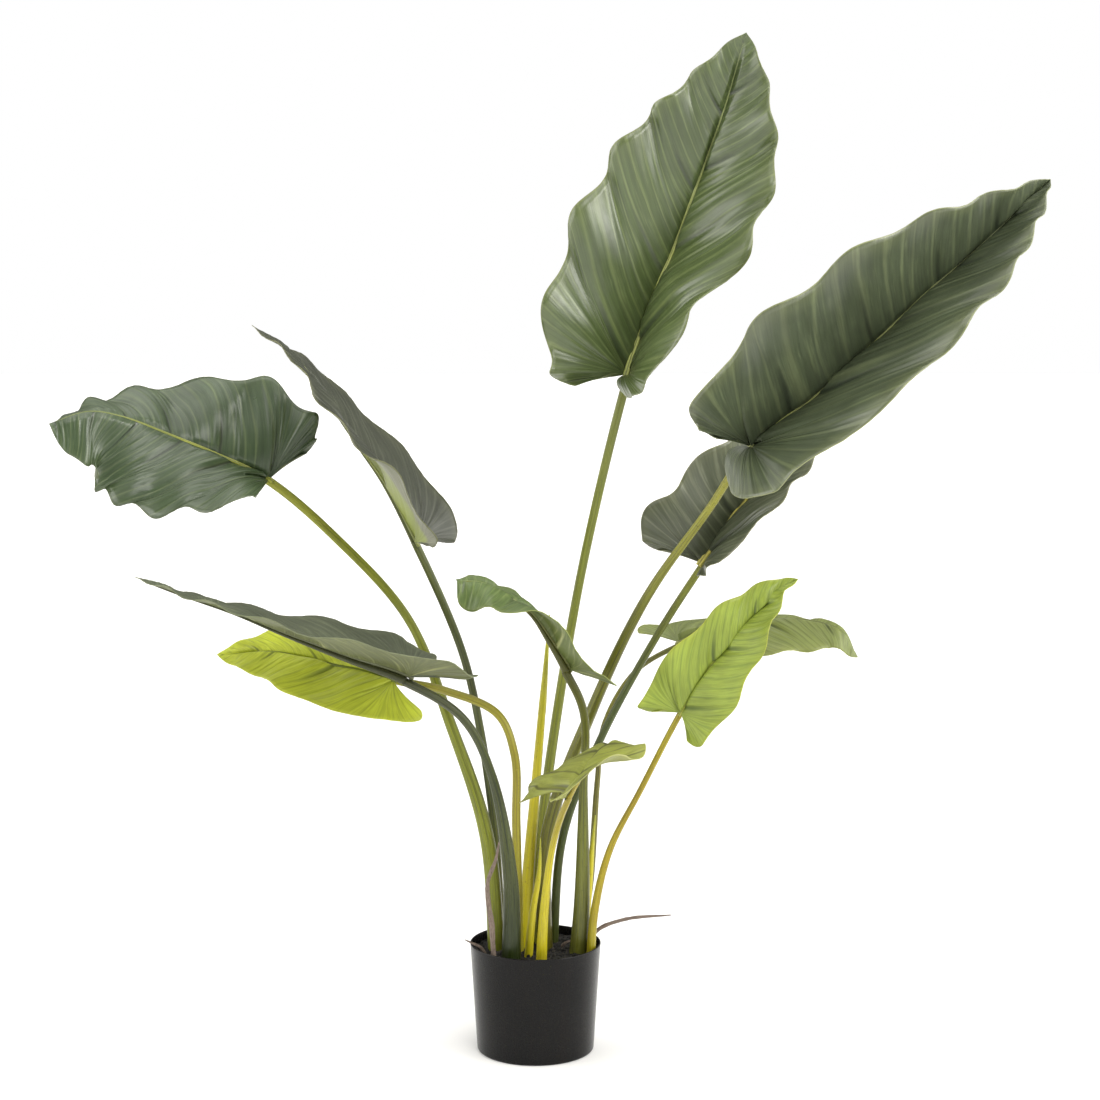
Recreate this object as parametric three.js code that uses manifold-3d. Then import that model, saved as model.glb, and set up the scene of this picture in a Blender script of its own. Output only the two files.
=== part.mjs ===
// Potted taro: eleven leaves on stalks, three rolled young leaves and aerial roots in a black nursery pot.
// Millimetres, +Z up, front is -Y. The origin is the middle of the pot's flat underside.
import * as THREE from "three";
import { mergeVertices } from "three/addons/utils/BufferGeometryUtils.js";
import Module from "manifold-3d";

const wasm = await Module();
wasm.setup();

// Pot
const potHeight = 125.3;
const potRimRadius = 75;
const potBaseRadius = 67;
const potWall = 1.8;
const potFloor = 3;
const potCornerRadius = 3;
const potFacets = 48;

// Soil
const soilTop = 115;
const soilRipple = 1.6;
const soilRings = 4;
const soilFacets = 26;

// Gap between touching pieces, and the size under which a cut's slivers are dropped
const seatGap = 0.3;
const smallestDetail = 0.01;

// Leaves
const bladeThickness = 0.8;
const sinusStart = 0.045;
const veinBow = 0.6;
const keelEnd = 0.94;
const keelTipRadius = 1.1;
const stalkSides = 8;
const usualSheath = 0.62;
const usualCalm = [0.24, 0.24];
const keelSides = 6;
const facingFront = [0, -1, 0.2];
const facingUp = [0, 0, 1];

// Half of a leaf's outline: its lobe from the notch at the stalk to the side, and the rest to the tip.
// x counts in half-widths and y in midrib lengths.
const lobes = {
  usual: [[0, 0], [0.18, -0.01], [0.34, -0.045], [0.52, -0.082], [0.7, -0.085], [0.85, -0.045], [0.96, 0.04]],
  round: [[0, 0], [0.02, -0.045], [0.12, -0.095], [0.33, -0.12], [0.58, -0.105], [0.8, -0.05], [0.95, 0.04]],
  wide: [[0, 0], [0.13, 0.006], [0.32, -0.014], [0.54, -0.06], [0.77, -0.09], [0.96, -0.062], [1.03, 0.03]],
};
const sideOutline = [
  [1, 0.16], [0.98, 0.32], [0.88, 0.5], [0.71, 0.66], [0.5, 0.79], [0.28, 0.9], [0.11, 0.97], [0, 1],
];
const outlineWidest = 0.16;

// Each leaf: stalk points from the soil to the blade, then midrib points to the tip. Pairs are the left and
// right half: half-width, lobe factor and shape, fold and curl in degrees towards the facing side, fullness,
// sweep of the lateral veins' ends towards the tip, depth of the margin's waves and scallops, how far a lobe
// wraps round the stalk, and the part by the stalk over which the margin's waves fade in.
const leafPlans = [
  {
    name: "leaf_01", colour: 0x41603a, stalkColour: 0x5d7034, radii: [6.5, 5],
    stalk: [[-6, 30, 95], [6, 38, 240], [24, 48, 376], [56, 60, 560], [107, 62, 774]],
    midrib: [[132, 60, 849], [159, 52, 919], [185, 42, 993], [211, 26, 1069], [233, 0, 1151]],
    halfWidth: [127, 132], lobe: [0.8, 0.5], lobeShape: ["usual", "round"], facing: facingFront,
    fold: [[43, 33, 24, 20, 12], [84, 75, 52, 30, 14]], curl: [-16, -14], slope: 1.2,
    fullness: [1, 1], sweep: [0, 0], waves: 9, ruffle: [8, 8], scallop: [0.07, 0.055],
    wrap: [0, 13], calm: [0.18, 0.6],
  },
  {
    name: "leaf_02", colour: 0x3a5a38, stalkColour: 0x7a8230, radii: [9.5, 4.5], sheath: 0.85,
    stalk: [[11, 8, 95], [14, 0, 249], [63, -20, 395], [124, -45, 529], [193, -70, 633], [236, -85, 700]],
    midrib: [[298, -95, 750], [358, -100, 805], [420, -100, 865], [472, -95, 910], [554, -80, 986]],
    halfWidth: [130, 134], lobe: [0.4, 0.85], lobeShape: ["usual", "round"], facing: facingFront,
    fold: [[60, 51, 52, 58, 62], [70, 71, 66, 60, 58]], curl: [-14, -14], slope: 0.85,
    fullness: [1, 1], sweep: [-0.06, 0.06], waves: 9, ruffle: [5, 5], scallop: [0.06, 0.045],
    wrap: [0, 20], calm: [0.3, 0.5],
  },
  {
    name: "leaf_03", colour: 0x3a5638, stalkColour: 0x4f6a34, radii: [5.5, 4.5],
    stalk: [[20, 36, 95], [32, 38, 240], [74, 48, 349], [141, 62, 471], [195, 75, 553]],
    midrib: [[216, 80, 583], [239, 86, 618], [264, 92, 650], [308, 98, 699], [349, 100, 749]],
    halfWidth: [88, 86], lobe: [0.85, 0.6], lobeShape: ["wide", "round"], facing: facingFront,
    fold: [[20, 34, 44, 46, 42], [88, 78, 70, 60, 50]], curl: [-12, -12], slope: 0.85,
    fullness: [1, 1], sweep: [-0.05, 0.06], waves: 8, ruffle: [4, 4], scallop: [0.05, 0.045],
  },
  {
    name: "leaf_04", colour: 0x41603c, stalkColour: 0x7c8636, radii: [10, 5],
    stalk: [[-43, 2, 95], [-56, 10, 247], [-99, 33, 376], [-147, 52, 492], [-231, 60, 586], [-308, 60, 652]],
    midrib: [[-369, 55, 683], [-415, 45, 704], [-469, 25, 727], [-503, 10, 733], [-544, -5, 720]],
    halfWidth: [105, 101], lobe: [0.02, 0.9], lobeShape: ["usual", "usual"], facing: facingFront,
    fold: [[76, 50, 22, 0, -5], [16, -4, -43, -64, -76]], curl: [-10, -14], slope: 0.9,
    fullness: [0.42, 1], sweep: [0.06, -0.06], waves: 10, ruffle: [3, 4], scallop: [0.06, 0.07],
  },
  {
    name: "leaf_05", colour: 0x3c5638, stalkColour: 0x4a6438, radii: [5, 4.5],
    stalk: [[-38, 24, 95], [-47, 26, 243], [-63, 24, 365], [-84, 22, 459], [-137, 18, 585]],
    midrib: [[-172, 10, 654], [-196, 5, 690], [-230, -5, 742], [-262, -15, 790], [-313, -25, 830]],
    halfWidth: [94, 94], lobe: [0.15, 1], lobeShape: ["usual", "wide"], facing: facingFront,
    fold: [[108, 104, 92, 84, 80], [-54, -60, -69, -78, -84]], curl: [-8, -6], slope: 1.1,
    fullness: [1, 1], sweep: [0, 0], waves: 8, ruffle: [3, 1.5], scallop: [0.03, 0.012],
  },
  {
    name: "leaf_06", colour: 0x44603e, stalkColour: 0x44603c, radii: [12, 5],
    stalk: [[-27, -36, 95], [-28, -40, 213], [-50, -55, 337], [-81, -68, 399], [-142, -85, 441]],
    midrib: [[-203, -95, 465], [-270, -105, 493], [-325, -112, 518], [-377, -118, 538], [-430, -122, 560]],
    halfWidth: [96, 98], lobe: [2.1, 1.2], lobeShape: ["usual", "usual"], facing: facingUp,
    fold: [[26, 20, 14, 10, 8], [22, 18, 8, 0, -4]], curl: [-8, -8], slope: 0.8,
    fullness: [1, 0.75], sweep: [0, 0], waves: 8, ruffle: [3, 1.5], scallop: [0.035, 0.03],
    lobeLift: 12,
  },
  {
    name: "leaf_07", colour: 0x9db83a, stalkColour: 0xa09a34, radii: [5.5, 4.5],
    stalk: [
      [-19, -8, 95], [-22, -12, 265], [-24, -14, 347], [-43, -12, 392], [-103, -2, 417], [-161, 10, 427],
    ],
    midrib: [[-201, 18, 438], [-233, 23, 443], [-268, 26, 451], [-295, 28, 457], [-366, 34, 453]],
    halfWidth: [63, 44], lobe: [2.6, 0.8], lobeShape: ["usual", "usual"], facing: facingFront,
    fold: [[38, 40, 40, 38, 34], [-24, -22, -22, -24, -24]], curl: [-8, -8], slope: 1.2,
    fullness: [1, 1], sweep: [0.04, 0], waves: 6, ruffle: [2.5, 2.5], scallop: [0.03, 0.03],
  },
  {
    name: "leaf_08", colour: 0x6f9448, stalkColour: 0x5c7434, radii: [11, 4.5],
    stalk: [[47, -8, 95], [52, -12, 162], [54, -25, 298], [54, -45, 400], [34, -60, 448]],
    midrib: [[14, -70, 483], [-6, -80, 514], [-32, -90, 535], [-59, -98, 551], [-84, -106, 554]],
    halfWidth: [50, 52], lobe: [3, 3], lobeShape: ["usual", "usual"], facing: facingUp,
    fold: [[5, 5, 0, -28, -80], [24, 24, 15, 6, 0]], curl: [0, 0], slope: 1,
    fullness: [0.25, 0.5], sweep: [0, 0], waves: 5, ruffle: [1.5, 1.5], scallop: [0.03, 0.03],
    lobeLift: 35,
  },
  {
    name: "leaf_09", colour: 0x86b040, stalkColour: 0x9c9c34, radii: [5.5, 3.5],
    stalk: [[62, -18, 95], [67, -22, 165], [84, -32, 240], [118, -45, 312], [162, -60, 403]],
    midrib: [[191, -66, 451], [213, -68, 479], [239, -66, 508], [265, -60, 534], [291, -55, 551]],
    halfWidth: [48, 52], lobe: [0.9, 1.2], lobeShape: ["wide", "usual"], facing: facingFront,
    fold: [[16, 28, 30, 24, 5], [38, 36, 42, 60, 80]], curl: [-10, -10], slope: 1.2,
    fullness: [1, 1], sweep: [0.03, -0.03], waves: 6, ruffle: [4, 3], scallop: [0.09, 0.07],
  },
  {
    name: "leaf_10", colour: 0x62863e, stalkColour: 0x6c6a2c, radii: [5, 3],
    stalk: [[46, 35, 95], [62, 38, 176], [72, 60, 301], [80, 75, 364], [117, 92, 424], [170, 105, 454]],
    midrib: [[218, 110, 471], [279, 112, 481], [319, 112, 481], [360, 110, 469], [380, 108, 438]],
    halfWidth: [62, 62], lobe: [1.8, 0.7], lobeShape: ["usual", "usual"], facing: facingUp,
    fold: [[20, 5, 0, -5, -5], [-5, -24, -33, -44, -44]], curl: [-10, -10], slope: 1.2,
    fullness: [1, 0.8], sweep: [0, 0.04], waves: 6, ruffle: [2.5, 2.5], scallop: [0.03, 0.04],
    lobeLift: 22,
  },
  {
    name: "leaf_11", colour: 0xa4c05a, stalkColour: 0xb0aa3a, radii: [6.5, 3.5],
    stalk: [[6, -42, 95], [10, -62, 176], [20, -100, 262], [37, -150, 325]],
    midrib: [[56, -125, 351], [71, -98, 366], [83, -75, 368], [95, -50, 356]],
    halfWidth: [108, 70], lobe: [0.8, 0.1], lobeShape: ["usual", "usual"], facing: [-0.1, -0.3, 1],
    fold: [[-28, -27, -26], [54, 16, 0]], curl: [-10, -10], slope: 0.6,
    fullness: [1, 1], sweep: [0, 0], waves: 5, ruffle: [2.5, 2.5], scallop: [0.03, 0.03],
  },
];
const wavesOfBigLeaf = 8;
const bigLeafGrid = { rows: 28, columns: 3, keelSteps: 9 };
const smallLeafGrid = { rows: 20, columns: 2, keelSteps: 7 };
const stepsPerStalkPoint = 3;

// Rolled young leaves, thickest a little above the soil and pointed at the top
const spearPlans = [
  { name: "spear_01", colour: 0xc2b432, radii: [8, 7.2, 5.6, 4.4, 0.7],
    points: [[-15, 12, 95], [-7, 12, 216], [3, 12, 335], [11, 10, 434], [16, 8, 503]] },
  { name: "spear_02", colour: 0xbcb238, radii: [5, 4.5, 3.4, 0.6],
    points: [[-9, -25, 95], [-3, -25, 165], [4, -22, 209], [6, -20, 251]] },
  { name: "spear_03", colour: 0xb8aa34, radii: [3.6, 3.8, 4, 0.6],
    points: [[56, 20, 95], [61, 22, 168], [65, 24, 227], [69, 26, 267]] },
];
const spearSides = 8;

// Aerial roots
const rootPlans = [
  { name: "root_01", radii: [3.2, 2.8, 3.2, 2.4, 2.2, 0.8],
    points: [
      [-46, -41, 97], [-49, -46, 156], [-53, -50, 187], [-53, -53, 208], [-44, -60, 236], [-40, -66, 257],
    ] },
  { name: "root_02", radii: [1.9, 1.9, 1.8, 1.6, 0.6],
    points: [[-54, -22, 100], [-56, -22, 114], [-62, -22, 124], [-71, -22, 129], [-80, -21, 133]] },
  { name: "root_03", radii: [2.3, 2.3, 2.1, 1.7, 0.7],
    points: [[60, 5, 100], [62, 5, 118], [71, 7, 136], [103, 8, 149], [156, 8, 154]] },
  { name: "root_04", radii: [2, 2, 1.8, 0.7],
    points: [[29, 13, 100], [30, 13, 114], [36, 11, 121], [42, 14, 122]] },
];
const rootColour = 0x75655a;
const rootSides = 6;

// A smooth curve through points, read by length along it
class LengthCurve {
  constructor(points) {
    const stepsPerSpan = 24;
    const spans = points.length - 1;
    this.curve = new THREE.CatmullRomCurve3(points.map((p) => new THREE.Vector3(...p)), false, "centripetal");
    this.curve.arcLengthDivisions = spans * stepsPerSpan;
    this.lengths = this.curve.getLengths();
    this.length = this.lengths[this.lengths.length - 1];
    this.stepsPerSpan = stepsPerSpan;
  }

  knotLength(index) {
    return this.lengths[index * this.stepsPerSpan];
  }

  point(s) {
    return this.curve.getPointAt(THREE.MathUtils.clamp(s / this.length, 0, 1));
  }

  tangent(s) {
    const step = 2;
    const ahead = this.point(Math.min(s + step, this.length));
    return ahead.sub(this.point(Math.max(s - step, 0))).normalize();
  }
}

// A short list of values spread evenly over 0 to 1 and read with eased steps
function easedList(values, t) {
  if (!Array.isArray(values)) return values;
  const place = THREE.MathUtils.clamp(t, 0, 1) * (values.length - 1);
  const first = Math.min(Math.floor(place), values.length - 2);
  const ease = THREE.MathUtils.smoothstep(place - first, 0, 1);
  return THREE.MathUtils.lerp(values[first], values[first + 1], ease);
}

function toManifold(geometry) {
  const plain = geometry.clone();
  plain.deleteAttribute("normal");
  plain.deleteAttribute("uv");
  const merged = mergeVertices(plain, 1e-4);
  return new wasm.Manifold(new wasm.Mesh({
    numProp: 3,
    vertProperties: new Float32Array(merged.attributes.position.array),
    triVerts: new Uint32Array(merged.index.array),
  }));
}

// The largest body of a solid, as a geometry: slivers and loose scraps are dropped
function toGeometry(solid) {
  const bodies = solid.setTolerance(smallestDetail).decompose();
  bodies.sort((a, b) => b.volume() - a.volume());
  const mesh = bodies[0].getMesh();
  const geometry = new THREE.BufferGeometry();
  geometry.setAttribute("position", new THREE.BufferAttribute(new Float32Array(mesh.vertProperties), 3));
  geometry.setIndex(new THREE.BufferAttribute(new Uint32Array(mesh.triVerts), 1));
  geometry.computeVertexNormals();
  return geometry;
}

// A closed tapering rod along a curve: a capped cylinder bent onto it
function bentRod(route, from, to, radiusAt, sides, steps) {
  const rod = new THREE.CylinderGeometry(1, 1, 1, sides, steps);
  rod.rotateX(Math.PI / 2);
  const frames = [];
  let across = new THREE.Vector3(1, 0, 0);
  for (let k = 0; k <= steps; k += 1) {
    const s = THREE.MathUtils.lerp(from, to, k / steps);
    const along = route.tangent(s);
    across = across.clone().addScaledVector(along, -across.dot(along)).normalize();
    const other = along.clone().cross(across);
    frames.push({ centre: route.point(s), across, other, radius: radiusAt(k / steps) });
  }
  const position = rod.attributes.position;
  for (let i = 0; i < position.count; i += 1) {
    const frame = frames[Math.round((position.getZ(i) + 0.5) * steps)];
    const moved = frame.centre.clone();
    moved.addScaledVector(frame.across, position.getX(i) * frame.radius);
    moved.addScaledVector(frame.other, position.getY(i) * frame.radius);
    position.setXYZ(i, moved.x, moved.y, moved.z);
  }
  return rod;
}

// Everything about one leaf's blade: its midrib, its frame there and any point of its surface
class Blade {
  constructor(plan) {
    this.plan = plan;
    this.route = new LengthCurve([...plan.stalk, ...plan.midrib]);
    this.attach = this.route.knotLength(plan.stalk.length - 1);
    this.length = this.route.length - this.attach;
    this.outlines = [0, 1].map((side) => {
      const points = [...lobes[plan.lobeShape[side]], ...sideOutline];
      return new LengthCurve(points.map(([x, y]) => [x, y < 0 ? y * plan.lobe[side] : y, 0]));
    });
    this.baseOutline = new LengthCurve([...lobes.usual, ...sideOutline].map(([x, y]) => [x, y, 0]));
    this.meanWidth = (plan.halfWidth[0] + plan.halfWidth[1]) / 2;
  }

  // Radius of the stalk, wide at the sheath by the soil and slim above it
  stalkRadius(t) {
    const sheath = this.plan.sheath ?? usualSheath;
    return THREE.MathUtils.lerp(this.plan.radii[0], this.plan.radii[1], Math.min(1, t / sheath));
  }

  // Height of the blade's middle over the midrib curve
  lift(y) {
    const high = this.plan.radii[1] + seatGap + bladeThickness / 2;
    return THREE.MathUtils.lerp(high, keelTipRadius, THREE.MathUtils.clamp(y, 0, 1));
  }

  frame(y) {
    const s = this.attach + Math.max(y, 0) * this.length;
    const along = this.route.tangent(s);
    const up = new THREE.Vector3(...this.plan.facing).normalize();
    up.addScaledVector(along, -up.dot(along)).normalize();
    return { centre: this.route.point(s), along, up, right: along.clone().cross(up) };
  }

  // Where the lateral vein of row u leaves the midrib: the first rows all fan out from the stalk
  veinStart(u) {
    const edge = this.baseOutline.point(u * this.baseOutline.length);
    const start = edge.y - this.plan.slope * edge.x * this.meanWidth / this.length;
    const smallest = 0.012;
    return start < smallest ? 0 : start;
  }

  point(side, u, v) {
    const plan = this.plan;
    const outline = this.outlines[side];
    const swept = u + 4 * plan.sweep[side] * u * (1 - u);
    const edge = outline.point(swept * outline.length);
    let reach = Math.max(edge.x, 0);
    if (edge.y > outlineWidest) reach **= plan.fullness[side];
    const phase = 2 * Math.PI * plan.waves * u + (side === 0 ? 1.7 : 0);
    const calm = (plan.calm ?? usualCalm)[side];
    const fade = Math.min(1, u / calm) ** 2 * Math.min(1, (1 - u) / 0.12);
    reach *= 1 + plan.scallop[side] * fade * Math.sin(phase + 0.9);

    const start = this.veinStart(u);
    const y = start + (edge.y - start) * (veinBow * v + (1 - veinBow) * v * v);
    const width = plan.halfWidth[side];
    const d = reach * width * v;
    const fold = THREE.MathUtils.degToRad(easedList(plan.fold[side], Math.max(y, 0)));
    const curl = THREE.MathUtils.degToRad(plan.curl[side]) * (d / width);
    const wave = plan.ruffle[side] * v ** 2.5 * fade * Math.sin(phase);
    const outward = d * Math.cos(fold + curl / 2) - wave * Math.sin(fold + curl);
    const upward = d * Math.sin(fold + curl / 2) + wave * Math.cos(fold + curl);

    const frame = this.frame(y);
    const sign = side === 1 ? 1 : -1;
    const point = frame.centre.clone();
    point.addScaledVector(frame.right, sign * outward);
    point.addScaledVector(frame.up, upward + this.lift(y));
    if (y < 0) {
      const back = -y * this.length;
      const lowest = Math.min(...lobes[plan.lobeShape[side]].map(([, place]) => place));
      const share = Math.min(back / (-lowest * plan.lobe[side] * this.length), 1);
      const bulge = Math.sin(Math.PI * share) * Math.max(1 - d / width, 0) ** 2;
      point.addScaledVector(frame.right, -sign * (plan.wrap?.[side] ?? 0) * bulge);
      const lobeLift = THREE.MathUtils.degToRad(plan.lobeLift ?? 0);
      point.addScaledVector(frame.along, -back * Math.cos(lobeLift));
      point.addScaledVector(frame.up, back * Math.sin(lobeLift));
    }
    return point;
  }

  // The blade as one thin closed sheet: the same triangles on both faces, joined round the edge
  sheet(rows, columns) {
    const points = [];
    const add = (point) => points.push(point) - 1;
    const attachIndex = add(this.point(0, sinusStart, 0));
    const tipIndex = add(this.point(0, 1, 0));
    const midribIndex = [];
    for (let i = 0; i < rows; i += 1) {
      const u = THREE.MathUtils.lerp(sinusStart, 1, i / rows);
      midribIndex.push(this.veinStart(u) === 0 ? attachIndex : add(this.point(0, u, 0)));
    }
    midribIndex.push(tipIndex);

    const grids = [0, 1].map((side) => {
      const grid = [];
      for (let i = 0; i <= rows; i += 1) {
        const u = THREE.MathUtils.lerp(sinusStart, 1, i / rows);
        const row = [midribIndex[i]];
        for (let j = 1; j <= columns; j += 1) {
          row.push(i === rows ? tipIndex : add(this.point(side, u, j / columns)));
        }
        grid.push(row);
      }
      return grid;
    });

    // Triangles of the facing side
    const faces = [];
    const addFace = (a, b, c) => {
      if (a !== b && b !== c && a !== c) faces.push([a, b, c]);
    };
    for (const side of [0, 1]) {
      const grid = grids[side];
      for (let i = 0; i < rows; i += 1) {
        for (let j = 0; j < columns; j += 1) {
          const [a, b, c, d] = [grid[i][j], grid[i][j + 1], grid[i + 1][j + 1], grid[i + 1][j]];
          if (side === 1) {
            addFace(a, b, c);
            addFace(a, c, d);
          } else {
            addFace(a, c, b);
            addFace(a, d, c);
          }
        }
      }
    }

    // Edge loop in the turning sense of the facing side
    const rightEdge = [...grids[1][0].slice(1), ...grids[1].slice(1).map((row) => row[columns])];
    const leftEdge = [...grids[0].slice(0, rows).reverse().map((row) => row[columns])];
    const leftSinus = grids[0][0].slice(1, columns).reverse();
    const loop = [attachIndex, ...rightEdge, ...leftEdge, ...leftSinus];

    const flat = new THREE.BufferGeometry().setFromPoints(points);
    flat.setIndex(faces.flat());
    flat.computeVertexNormals();
    const normals = flat.attributes.normal;
    const count = points.length;
    const both = [];
    for (const sign of [1, -1]) {
      for (let i = 0; i < count; i += 1) {
        const normal = new THREE.Vector3().fromBufferAttribute(normals, i);
        both.push(points[i].clone().addScaledVector(normal, sign * bladeThickness / 2));
      }
    }
    const index = [];
    for (const [a, b, c] of faces) {
      index.push(a, b, c, a + count, c + count, b + count);
    }
    loop.forEach((a, k) => {
      const b = loop[(k + 1) % loop.length];
      index.push(a, a + count, b + count, a, b + count, b);
    });
    const sheet = new THREE.BufferGeometry().setFromPoints(both);
    sheet.setIndex(index);
    return sheet;
  }

  keel(steps) {
    const from = this.attach + seatGap;
    const to = this.attach + keelEnd * this.length;
    return bentRod(this.route, from, to, (t) => this.lift(t * keelEnd), keelSides, steps);
  }

  stalk(steps, spare, sides = stalkSides) {
    return bentRod(this.route, 0, this.attach + spare, (t) => this.stalkRadius(t) + spare, sides, steps);
  }
}

function material(colour, roughness) {
  return new THREE.MeshStandardMaterial({ color: colour, roughness, metalness: 0 });
}

function named(name, geometry, colour, roughness) {
  const mesh = new THREE.Mesh(geometry, material(colour, roughness));
  mesh.name = name;
  return mesh;
}

function radiusList(radii) {
  return (t) => {
    const place = t * (radii.length - 1);
    const first = Math.min(Math.floor(place), radii.length - 2);
    return THREE.MathUtils.lerp(radii[first], radii[first + 1], place - first);
  };
}

function makePot() {
  const slope = (potRimRadius - potBaseRadius) / potHeight;
  const outer = (z) => potBaseRadius + slope * z;
  const profile = [
    [0, 0],
    [outer(0) - potCornerRadius, 0],
    [outer(0) - potCornerRadius * 0.3, potCornerRadius * 0.3],
    [outer(potCornerRadius), potCornerRadius],
    [potRimRadius, potHeight],
    [potRimRadius - potWall, potHeight],
    [outer(potFloor) - potWall, potFloor],
    [0, potFloor],
  ];
  const pot = new THREE.LatheGeometry(profile.map(([x, z]) => new THREE.Vector2(x, z)), potFacets);
  pot.rotateX(Math.PI / 2);
  return pot;
}

// Height of the loose soil surface over its mean level
function soilHeight(x, y) {
  const broad = Math.sin(x * 0.21 + 1.3) * Math.cos(y * 0.17);
  const fine = Math.sin(x * 0.43 - y * 0.37);
  return soilRipple * (0.6 * broad + 0.4 * fine);
}

function makeSoil(stems) {
  const slope = (potRimRadius - potBaseRadius) / potHeight;
  const inner = (z) => potBaseRadius + slope * z - potWall - seatGap - 0.3;
  const bottom = potFloor + seatGap;
  const profile = [new THREE.Vector2(0, bottom), new THREE.Vector2(inner(bottom), bottom)];
  for (let k = 0; k <= soilRings; k += 1) {
    profile.push(new THREE.Vector2(inner(soilTop) * (1 - k / soilRings), soilTop));
  }
  const soil = new THREE.LatheGeometry(profile, soilFacets);
  soil.rotateX(Math.PI / 2);
  const position = soil.attributes.position;
  for (let i = 0; i < position.count; i += 1) {
    const [x, y, z] = [position.getX(i), position.getY(i), position.getZ(i)];
    if (z > soilTop - 1) position.setZ(i, z + soilHeight(x, y));
  }
  let solid = toManifold(soil);
  for (const stem of stems) solid = solid.subtract(stem);
  return toGeometry(solid);
}

const plant = new THREE.Group();
const soilHoles = [];

for (const plan of leafPlans) {
  const blade = new Blade(plan);
  const grid = plan.waves < wavesOfBigLeaf ? smallLeafGrid : bigLeafGrid;
  const stalkSteps = stepsPerStalkPoint * plan.stalk.length;
  const clearance = toManifold(blade.stalk(stalkSteps, seatGap));
  const solid = toManifold(blade.sheet(grid.rows, grid.columns))
    .add(toManifold(blade.keel(grid.keelSteps)))
    .subtract(clearance);
  plant.add(named(`${plan.name}_blade`, toGeometry(solid), plan.colour, 0.45));
  plant.add(named(`${plan.name}_stalk`, blade.stalk(stalkSteps, 0), plan.stalkColour, 0.5));
  soilHoles.push(clearance);
}

for (const plan of [...spearPlans, ...rootPlans]) {
  const isSpear = spearPlans.includes(plan);
  const route = new LengthCurve(plan.points);
  const sides = isSpear ? spearSides : rootSides;
  const steps = isSpear ? 10 : 9;
  const radius = radiusList(plan.radii);
  const rod = bentRod(route, 0, route.length, radius, sides, steps);
  plant.add(named(plan.name, rod, plan.colour ?? rootColour, isSpear ? 0.5 : 0.85));
  soilHoles.push(toManifold(bentRod(route, 0, route.length, (t) => radius(t) + seatGap, sides, steps)));
}

plant.add(named("soil", makeSoil(soilHoles), 0x1c1a18, 0.95));
plant.add(named("pot", makePot(), 0x26282b, 0.6));

export default plant;
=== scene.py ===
"""Looks of the potted taro: veined leaves, stalks, rolled leaves, aerial roots, soil and pot.

The plans below are in millimetres, +Z up and the front towards -Y, and every mesh is made in metres.
"""
import itertools
import math
from collections import namedtuple

import bpy
import numpy as np
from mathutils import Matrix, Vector


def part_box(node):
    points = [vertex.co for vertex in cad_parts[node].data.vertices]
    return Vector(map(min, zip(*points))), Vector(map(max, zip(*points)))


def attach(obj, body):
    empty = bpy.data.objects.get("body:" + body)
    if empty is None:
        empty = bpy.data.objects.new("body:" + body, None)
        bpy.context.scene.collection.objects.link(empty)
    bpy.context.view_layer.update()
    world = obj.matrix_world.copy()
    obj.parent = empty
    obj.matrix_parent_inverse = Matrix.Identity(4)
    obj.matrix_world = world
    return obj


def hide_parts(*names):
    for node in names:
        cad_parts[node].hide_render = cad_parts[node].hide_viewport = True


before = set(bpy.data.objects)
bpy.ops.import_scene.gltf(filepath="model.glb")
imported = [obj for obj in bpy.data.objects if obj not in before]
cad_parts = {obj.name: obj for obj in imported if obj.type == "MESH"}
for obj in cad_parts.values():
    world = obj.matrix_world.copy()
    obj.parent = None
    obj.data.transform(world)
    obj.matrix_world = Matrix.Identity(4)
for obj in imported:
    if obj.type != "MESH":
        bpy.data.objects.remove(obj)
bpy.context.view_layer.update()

MM = 0.001
TURN = 2 * math.pi
rng = np.random.default_rng(11)

# Camera and light
CAMERA_PLACE = (0.0167, -2.5, 0.839)
CAMERA_PITCH_DOWN = 5.97
CAMERA_LENS = 72.9
SENSOR_WIDTH = 36.0
LIGHT_COLOUR = (1.0, 0.985, 0.955)
ROOM_LIGHT = 0.22
SIDE_LIGHT = 3.2
SIDE_LIGHT_FROM = (0.68, 0.88)
TOP_LIGHT = 0.6
TOP_LIGHT_FROM = (0.3, 0.9)
FLOOR_SIZE = 30.0
FLOOR_COLOUR = (0.93, 0.93, 0.93, 1)

# Soft lights: direction from the plant to the light, strength, and spread in degrees
SUNS = {
    "key": ((0.3, -0.9, 1.0), 1.2, 34),
    "top": ((-0.2, 0.3, 1.6), 1.0, 60),
    "fill": ((-1.0, -0.6, 0.6), 0.2, 30),
    "rim": ((0.9, -0.6, 0.35), 1.2, 24),
}

# Leaf surfaces
BLADE_THICKNESS = 0.7
CAD_BLADE_THICKNESS = 0.8
SEAT_GAP = 0.3
SINUS_START = 0.045
VEIN_BOW = 0.6
FAN_LIMIT = 0.012
OUTLINE_WIDEST = 0.16
LEFT_PHASE = 1.7
SCALLOP_LEAD = 0.9
TIP_CALM = 0.12
RUFFLE_GROWTH = 2.5
ROWS_PER_WAVE = 36
COLUMNS = {"big": 24, "small": 18}
COLUMN_GROWTH = 1.25
WAVES_OF_BIG_LEAF = 8
FACING_FRONT = (0, -1, 0.2)
FACING_UP = (0, 0, 1)

# Relief of a blade: the panels between creases, and finer ripples
PANEL_SHARES = (0.45, 1.2)
PANEL_DEPTH = 6.0
PANEL_SLOPE = 0.085
RIPPLES_PER_PANEL = (2.3, 3.7, 5.9, 8.3)
RIPPLE_BEND = 3
RIPPLE_DEPTH = 0.22
RIPPLE_SLOPE = 0.006

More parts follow.
